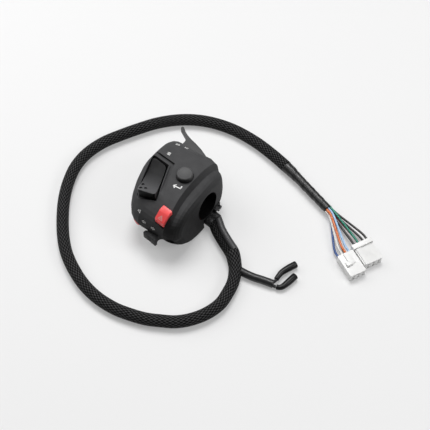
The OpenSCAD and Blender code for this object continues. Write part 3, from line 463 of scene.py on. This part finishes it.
# %% Round the controls, the plugs and the small rubber pieces
rocker_plan = prism([(-6.58, -15.23), (7.77, -15.23), (5.38, 13.63), (-6.58, 18.17)], 2.2, 22,
                    (-10.9, -19.9, 0))
own_finish = {"terminal_boots": boot_black, "menu_rocker": rocker_black,
              "cable_clip": gland_rubber, "turn_knob": knob_black}
for node, width, weld in (("menu_rocker", 0.8, 0.2), ("enter_button", 0.4, 0.1),
                          ("hazard_key", 0.35, 0.1), ("horn_button", 0.4, 0.1),
                          ("turn_knob", 0.5, 0.15), ("pass_trigger", 0.5, 0.1),
                          ("plug_a_housing", 0.35, 0.1), ("plug_b_housing", 0.35, 0.1),
                          ("cable_gland", 0.3, 0.1), ("cable_clip", 0.2, 0.1),
                          ("terminal_boots", 0.4, 0.1)):
    finish = own_finish.get(node, finishes[slot_of[node]])
    obj = rounded(node, width, finish, weld, rocker_plan if node == "menu_rocker" else None)
    print(obj.name, len(obj.data.polygons), "faces")

# %% [markdown]
# ## Springs under the buttons
# A pressed button closes its spring. Each coil here is a smoothly shaded copy of its solid, on
# the same body as the solid.

# %% Springs copied from their solids
for node, joint, travel in (("enter_spring", "enter_press", 2.05),
                            ("hazard_spring", "hazard_press", 2.25)):
    bm = merged_copy(node)
    for f in bm.faces:
        f.smooth = True
    coil = new_object(node + "_coil", bm, finishes[slot_of[node]])
    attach(coil, nodes[node]["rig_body"])
    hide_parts(node)
    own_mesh(coil)

# %% [markdown]
# ## Braid, tape and sheaths
# The sleeve is an expandable braid: two sets of flat yarn bundles cross at a slant and pass over
# and under each other. On the tube's map both sets are sloping bands. Their crowns give the
# height, and a chequer of the two bands says which one is on top.

# %% Bands on a cord's map
def cord_map(tree):
    uv = add(tree, "ShaderNodeUVMap", uv_map="cord")
    split = add(tree, "ShaderNodeSeparateXYZ")
    tree.links.new(uv.outputs["UV"], split.inputs["Vector"])
    return split.outputs["X"], split.outputs["Y"]


def crown(tree, band):
    """A rounded yarn across one band: 0 at its edges, 1 in its middle."""
    part = math_node(tree, "FRACT", band)
    return math_node(tree, "SINE", math_node(tree, "MULTIPLY", part, math.pi))


def braided(name, colour, painted_glint_colour, count, pitch, rough):
    """count bands go round the cord, and each has gone once round the map after count pitches."""
    m, tree, shader = new_finish(name, colour, rough, spec=0.05)
    u, v = cord_map(tree)
    around = math_node(tree, "MULTIPLY", u, count)
    along = math_node(tree, "MULTIPLY", v, 1 / pitch)
    left = math_node(tree, "ADD", around, along)
    right_band = math_node(tree, "SUBTRACT", around, along)
    steps = math_node(tree, "ADD", math_node(tree, "FLOOR", left),
                      math_node(tree, "FLOOR", right_band))
    over = math_node(tree, "PINGPONG", steps, 1.0)
    a, b = crown(tree, left), crown(tree, right_band)
    top = math_node(tree, "ADD", math_node(tree, "MULTIPLY", a, over),
                    math_node(tree, "MULTIPLY", b, math_node(tree, "SUBTRACT", 1.0, over)))
    coords = add(tree, "ShaderNodeTexCoord").outputs["Object"]
    fibre = noise(tree, coords, 6000, 2.0)
    height = math_node(tree, "ADD", top, math_node(tree, "MULTIPLY", fibre, 0.25))
    bump(tree, shader, height, 0.0003)
    # Painted glints: rows and dots of light on the yarn crowns are painted into the colour.
    row = crown(tree, math_node(tree, "MULTIPLY", along, 2.0))
    rows = math_node(tree, "ADD", math_node(tree, "POWER", row, 2.0), 0.5)
    dots = math_node(tree, "POWER", math_node(tree, "MULTIPLY", a, b), 2.5)
    painted_glint = math_node(tree, "MULTIPLY", rows, math_node(tree, "ADD", dots, 0.02))
    tree.links.new(blend_colour(tree, painted_glint, colour, painted_glint_colour), shader.inputs["Base Color"])
    return m


# %% Soft sheaths
stripe_place, stripe_width = 0.3, 0.16


def sheathed(name, colour, rough, stripe=None, depth=0.00001):
    """Soft sheath of a wire, with an optional stripe along it."""
    m, tree, shader = new_finish(name, colour, rough)
    coords = add(tree, "ShaderNodeTexCoord").outputs["Object"]
    mottle = noise(tree, coords, 420, 3.0)
    bump(tree, shader, noise(tree, coords, 1600, 3.0), depth)
    tree.links.new(spread(tree, mottle, rough - 0.08, rough + 0.08), shader.inputs["Roughness"])
    base = blend_colour(tree, spread(tree, mottle, 0, 1), times(colour, 0.86), colour)
    if stripe:
        u, v = cord_map(tree)
        off = math_node(tree, "ABSOLUTE", math_node(tree, "SUBTRACT", u, stripe_place))
        near = math_node(tree, "LESS_THAN", off, stripe_width / 2)
        base = blend_colour(tree, near, base, stripe)
    tree.links.new(base, shader.inputs["Base Color"])
    return m


# The last colour given to each braid is its painted glint colour.
braid_black = braided("braid_black", (0.0012, 0.0012, 0.0013), (0.12, 0.12, 0.122),
                      14, 0.0038, 0.5)
lead_woven = braided("lead_woven", (0.0015, 0.0015, 0.0016), (0.055, 0.055, 0.056),
                     9, 0.0034, 0.5)
tape_black = sheathed("tape_black", (0.011, 0.011, 0.0115), 0.38, depth=0.0001)
lead_cover = sheathed("lead_cover", (0.05, 0.05, 0.052), 0.5)
branch_sheath = sheathed("branch_sheath", (0.013, 0.013, 0.014), 0.4, depth=0.00003)
lead_rough = sheathed("lead_rough", (0.02, 0.02, 0.022), 0.6, depth=0.0001)
print("finishes with the soft ones:", len(finishes))

# %% [markdown]
# ## Sleeve and tail
# The sleeve starts wide where it was pushed over the leads and then hugs them. Behind it the
# harness is bound with glossy tape, laid on at a slant, so the tail steps a little at every turn.
# The two leads begin inside the gland, so that no gap shows there.

# %% Shapes along the sleeve, the tail and the leads
flare = 30 * MM
tape_turn, tape_start, tape_taper = 11 * MM, 14 * MM, 50 * MM
crease_turn, crease_swell = 7 * MM, 5 * MM
gland_depth = 3


def sleeve_radius(s, k):
    return 4.7 * (1 + 0.2 * max(0, 1 - s / flare) ** 2)


def tail_radius(s, k):
    turn = (s / tape_turn + k) % 1.0
    over = max(0.0, 1 - s / tape_start)
    slim = 3.75 - 0.4 * min(1.0, s / tape_taper)
    crease = 0.1 * math.sin(2 * math.pi * (2 * k + s / crease_turn)) * math.sin(s / crease_swell)
    return slim + 0.75 * over ** 0.6 + 0.2 * turn + crease


def seated(line):
    """The same line, begun inside the gland."""
    return [line[0] - way_at(line, 0) * gland_depth * MM] + line


# %% Make the sleeve, the tail and the two leads at the gland
sleeve = tube("braided_sleeve_woven", sleeve_line, sleeve_radius, 48, braid_black)
tail = tube("taped_tail_wound", tail_line, tail_radius, 48, tape_black)
main_lead = tube("main_lead_strand", seated(shifted(lead_line, 2.85)), 2.9, 32, lead_woven)
side_lead = tube("side_lead_strand", seated(shifted(lead_line, -2.9)), 2.8, 32, lead_cover)
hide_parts("braided_sleeve")
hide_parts("taped_tail")
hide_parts("main_lead")
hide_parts("side_lead")
print("sleeve tris:", sum(len(p.vertices) - 2 for p in sleeve.data.polygons))

# %% [markdown]
# ## Branch and wires
# A thin tube leaves the sleeve with two leads in black boots. In the photograph it bows a little
# and nearly reaches the boots, so it is drawn 2 mm longer and a little thicker than its solid.
# At the tail's end ten wires fan out to the two white plugs. Each wire leaves in the tail's own
# direction and arrives square to the plug, so its curve is set by those two directions.

# %% Branch tube
branch_d, branch_swell, branch_more = 5.6, 0.3, 2
branch_z = table + branch_d / 2 + 0.5
branch_points = [(70, -18.5, cord_z), (76, -17.6, cord_z - 1), (84.3, -15.4, branch_z),
                 (91.8, -12.5, branch_z), (97.7, -10.43, branch_z)]
branch_end = Vector(branch_points[-1])
branch_way = (branch_end - Vector(branch_points[-2])).normalized()
branch_tip = branch_end + branch_more * branch_way
branch = tube("branch_tube_sheath", smooth_curve([*branch_points, branch_tip], 10),
              branch_d / 2 + branch_swell, 28, branch_sheath)
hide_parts("branch_tube")
print("branch tube: %.3f m" % length_of(smooth_curve([*branch_points, branch_tip], 10)))

# %% Leads from the branch tube to the boots
boot_r, lead_r = 2.7, 1.2
boot_z = table + boot_r + 0.1
branch_side = branch_way.cross(UP)
lead_lines = []
for root, after, side in (((98.6, -5.2), (98, -2), -1.3), ((102.6, -9.9), (104.9, -8.6), 1.3)):
    a, b = branch_end + branch_side * side, Vector((*root, boot_z))
    d = (Vector((*after, boot_z)) - b).normalized()
    lead_lines.append(smooth_curve([a + 0.4 * branch_way, a + 1.3 * branch_way,
                                    b - 1.2 * d, b - 0.3 * d], 6))
leads = [tube("branch_lead_%d" % (i + 1), line, lead_r, 16, lead_rough)
         for i, line in enumerate(lead_lines)]
for lead in leads:
    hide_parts("branch_leads")
print("branch leads:", len(leads))

# %% Where each wire starts and ends, and its colours
plug_turn = math.radians(-21)
plug_way = Vector((math.cos(plug_turn), math.sin(plug_turn), 0))
plug_side = Vector((-plug_way.y, plug_way.x, 0))
tail_end = Vector(route[-1])
tail_way = way_at(tail_line, len(tail_line) - 1)
tail_side = tail_way.cross(UP).normalized()
plugs = {"a": (Vector((132.6, 41.2, table)), 10.0), "b": (Vector((136.1, 56.35, table)), 10.5)}
wire_looks = {
    "grey": ((0.5, 0), "a", (2, 1.6), (0.2, 0.2, 0.21), None),
    "blue": ((1, -0.93), "a", (-4.8, 3), (0.02, 0.075, 0.27), None),
    "white": ((1.5, 0), "a", (-2, 5.6), (0.74, 0.74, 0.72), None),
    "orange": ((1, 0.93), "a", (0.8, 6), (0.72, 0.17, 0.035), None),
    "sky": ((0, 0.93), "a", (3.8, 5.6), (0.36, 0.56, 0.82), None),
    "black": ((0, -0.93), "b", (-4.4, 4), (0.015, 0.015, 0.017), None),
    "green": ((-1, 0.93), "b", (-1.6, 6), (0.004, 0.22, 0.14), (0.5, 0.62, 0.55)),
    "maroon": ((-0.5, 0), "b", (0.2, 2.2), (0.36, 0.03, 0.06), None),
    "brown": ((-1.5, 0), "b", (6.2, 5.2), (0.015, 0.014, 0.013), (0.2, 0.09, 0.04)),
    "ink": ((-1, -0.93), "b", (3.8, 3), (0.016, 0.016, 0.018), (0.3, 0.16, 0.18)),
}
print("wires to draw:", len(wire_looks))

# %% Wires from the tail to the plugs
wire_d, wire_pitch = 1.75, 1.8
straight, bend_out, bend_in, lean = 0.04, 0.1, 0.12, 0.1
wire_objs = {}
for shade, (place, plug, goal, colour, stripe) in wire_looks.items():
    centre, rear = plugs[plug]
    a = tail_end + wire_pitch * (place[0] * tail_side + place[1] * UP)
    b = centre + goal[1] * UP - rear * plug_way + goal[0] * plug_side
    span = (b - a).length
    line = smooth_curve([a, a + straight * span * tail_way,
                         a + bend_out * span * tail_way + lean * (b - a),
                         b - bend_in * span * plug_way - lean * (b - a),
                         b - straight * span * plug_way, b], 8)
    skin = sheathed("wire_%s_sheath" % shade, colour, 0.34, stripe)
    wire = tube("wire_%s_strand" % shade, line, wire_d / 2, 20, skin)
    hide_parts("wire_" + shade)
    wire_objs[shade] = (wire, line)
print("wires:", len(wire_objs))

# %% [markdown]
# ## What each cord is
# The sleeve is the long cord of the harness, and it ends in the tail, the wires and the plugs.
# Lengths are measured on the lines themselves, and the harness's length is printed.

longest_wire = max(length_of(line) for wire, line in wire_objs.values())
print("harness from gland to plugs: %.3f m" % (length_of(whole) + longest_wire))

# %% [markdown]
# ## Printed symbols
# The print on a cluster tells what each control does. Plain road-vehicle symbols stand here: bars
# for the menu rocker, a return arrow for the button, lamps along the upper edge, a horn, two turn
# arrows and a warning triangle. A symbol is drawn flat from straight strokes. It is then pressed
# on to its wall along its own direction, so it follows the curve there.

# %% Strokes pressed on to a wall
print_white = moulded("print_white", (0.78, 0.78, 0.77), 0.5, 4200, 0.000006, lift=1.05)
print_pale = moulded("print_pale", (0.8, 0.32, 0.3), 0.5, 4200, 0.000006, lift=1.05)
cell, start_above, ink_height = 0.4, 6, 0.05


def symbol(name, lines, width, centre, face, across, node, body, finish=print_white):
    """lines are lists of points in mm, face is the outward direction of the wall."""
    wall = bmesh.new()
    wall.from_mesh(nodes[node].data)
    ground = BVHTree.FromBMesh(wall)
    z = Vector(face).normalized()
    y = z.cross(Vector(across)).normalized()
    x = y.cross(z)
    place = Matrix.Translation(Vector(centre) * MM) @ Matrix((x, y, z)).transposed().to_4x4()
    bm = bmesh.new()
    for line in lines:
        for p, q in zip(line, line[1:]):
            run = Vector((q[0] - p[0], q[1] - p[1], 0))
            spot = Matrix.Translation(((p[0] + q[0]) / 2 * MM, (p[1] + q[1]) / 2 * MM, 0))
            turn = Matrix.Rotation(math.atan2(run.y, run.x), 4, "Z")
            size = Matrix.Diagonal(((run.length + width * 0.9) * MM, width * MM, 1, 1))
            bmesh.ops.create_grid(bm, x_segments=max(2, round(run.length / cell)), y_segments=2,
                                  size=0.5, matrix=place @ spot @ turn @ size)
    for v in bm.verts:
        spot, normal, _, _ = ground.ray_cast(v.co + z * start_above * MM, -z)
        v.co = spot + normal * ink_height * MM
    wall.free()
    obj = new_object(name, bm, finish)
    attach(obj, body)
    return obj


# %% Draw the symbols
def headlamp(tilt):
    """A lamp seen from its side, with three rays."""
    bowl = [(0, -0.9), (0, 0.9), (0.7, 0.65), (1, 0), (0.7, -0.65), (0, -0.9)]
    rays = [[(-0.6, k), (-1.8, k + tilt)] for k in (-0.7, 0, 0.7)]
    return [bowl, *rays]


bars = [[(-1, k), (1, k)] for k in (-1, 0, 1)]
back_arrow = [[(3, 1.6), (3, -0.4), (-2.8, -0.4)], [(-1.4, 0.9), (-2.8, -0.4), (-1.4, -1.7)]]
trumpet = [[(-1.2, -0.4), (-1.2, 0.4), (-0.3, 0.4), (1, 1.1), (1, -1.1), (-0.3, -0.4),
            (-1.2, -0.4)]]
turn_arrow = [[(-1.6, 0), (-0.1, 1.2), (-0.1, 0.5), (1.5, 0.5), (1.5, -0.5), (-0.1, -0.5),
               (-0.1, -1.2), (-1.6, 0)]]
turned = [[(-px, py) for px, py in turn_arrow[0]]]
corners = ((-1, -0.7), (1, -0.7), (0, 1.03), (-1, -0.7))
triangle = [[(k * px, k * (py - 0.15)) for px, py in corners] for k in (1, 2)]
panel_row, wall_row = (1, 0.21, 0), (1, 0.1, 0)
case_marks = (
    ("mark_menu", bars, 0.5, (-17, 4, 23.7), UP, panel_row),
    ("mark_enter", back_arrow, 0.75, (8.1, -13.9, 23.8), UP, panel_row),
    ("mark_lamp_low", headlamp(-0.5), 0.4, (-19, 16.4, 20.9), (0, 0.45, 0.89), (1, 0.3, -0.1)),
    ("mark_lamp_high", headlamp(0), 0.4, (-12.6, 18.9, 19.8), (0, 0.5, 0.86), (1, 0.25, -0.1)),
    ("mark_horn", trumpet, 0.4, (-3.9, -42.4, 11.5), (-0.1, -0.75, 0.65), wall_row),
    ("mark_turn_left", turn_arrow, 0.36, (2.7, -45, 6.3), (0.09, -0.97, 0.23), wall_row),
    ("mark_turn_right", turned, 0.36, (11.3, -44.3, 5.4), (0.13, -0.97, 0.23), wall_row),
)
drawn = [symbol(*mark, "front_case", "housing") for mark in case_marks]
drawn.append(symbol("mark_warning", triangle, 0.4, (15.5, -39.2, 18.6), (0, -0.71, 0.71),
                    (1, 0, 0), "hazard_key", "hazard", print_pale))
print("symbols:", len(drawn))

# %% [markdown]
# ## Table and light
# The photograph is a catalogue picture: a white table, soft light and a little shade under the
# parts. The table shows itself partly as plain white to the camera, so it stays white, and the
# rest of its shade comes from the real light. A large lamp stands high behind the part, and two
# weaker ones light its two ends.

# %% White table
table_half, table_drop, plain_share = 2.0, 0.0002, 0.3
bm = bmesh.new()
bmesh.ops.create_grid(bm, x_segments=1, y_segments=1, size=table_half,
                      matrix=Matrix.Translation((0, 0, table * MM - table_drop)))
floor = new_object("table_top", bm)
white, tree, shader = new_finish("table_white", (0.8, 0.8, 0.8), 0.7)
glow = add(tree, "ShaderNodeEmission", Color=(0.88, 0.88, 0.88, 1), Strength=1.0)
rays = add(tree, "ShaderNodeLightPath").outputs
mirrored = math_node(tree, "MAXIMUM", rays["Is Glossy Ray"], rays["Is Transmission Ray"])
seen = math_node(tree, "MAXIMUM", rays["Is Camera Ray"], mirrored)
mix = add(tree, "ShaderNodeMixShader")
tree.links.new(math_node(tree, "MULTIPLY", seen, plain_share), mix.inputs[0])
tree.links.new(shader.outputs[0], mix.inputs[1])
tree.links.new(glow.outputs[0], mix.inputs[2])
tree.links.new(mix.outputs[0], tree.nodes["Material Output"].inputs["Surface"])
floor.data.materials.append(white)
print("table at", table, "mm")

# %% Three soft lamps
def soft_light(name, place, size, power):
    """A round lamp that faces the origin."""
    light = bpy.data.lights.new(name, "AREA")
    light.shape = "DISK"
    light.size = size
    light.energy = power
    obj = bpy.data.objects.new(name, light)
    obj.location = place
    obj.rotation_euler = (-Vector(place)).to_track_quat("-Z", "Y").to_euler()
    bpy.context.scene.collection.objects.link(obj)


soft_light("key_light", (-0.6, 0.7, 2.05), 1.2, 36)
soft_light("side_light", (0.9, 0.4, 0.8), 0.5, 3.6)
soft_light("fill_light", (-0.8, -0.15, 0.7), 0.8, 4.2)
print("lamps:", len(bpy.data.lights))

# %% A pale room, brighter overhead
room_low, room_high = 0.04, 0.3
world = bpy.data.worlds.new("studio")
world.use_nodes = True
tree = world.node_tree
sky = tree.nodes["Background"]
split = add(tree, "ShaderNodeSeparateXYZ")
tree.links.new(add(tree, "ShaderNodeTexCoord").outputs["Generated"], split.inputs["Vector"])
overhead = spread(tree, split.outputs["Z"], room_low, room_high, 0.2, 0.9)
seen = add(tree, "ShaderNodeLightPath").outputs["Is Camera Ray"]
tree.links.new(math_node(tree, "MAXIMUM", overhead, seen), sky.inputs["Strength"])
sky.inputs["Color"].default_value = (0.86, 0.86, 0.86, 1)
bpy.context.scene.world = world
bpy.context.scene.view_settings.view_transform = "Standard"
print("room:", world.name)
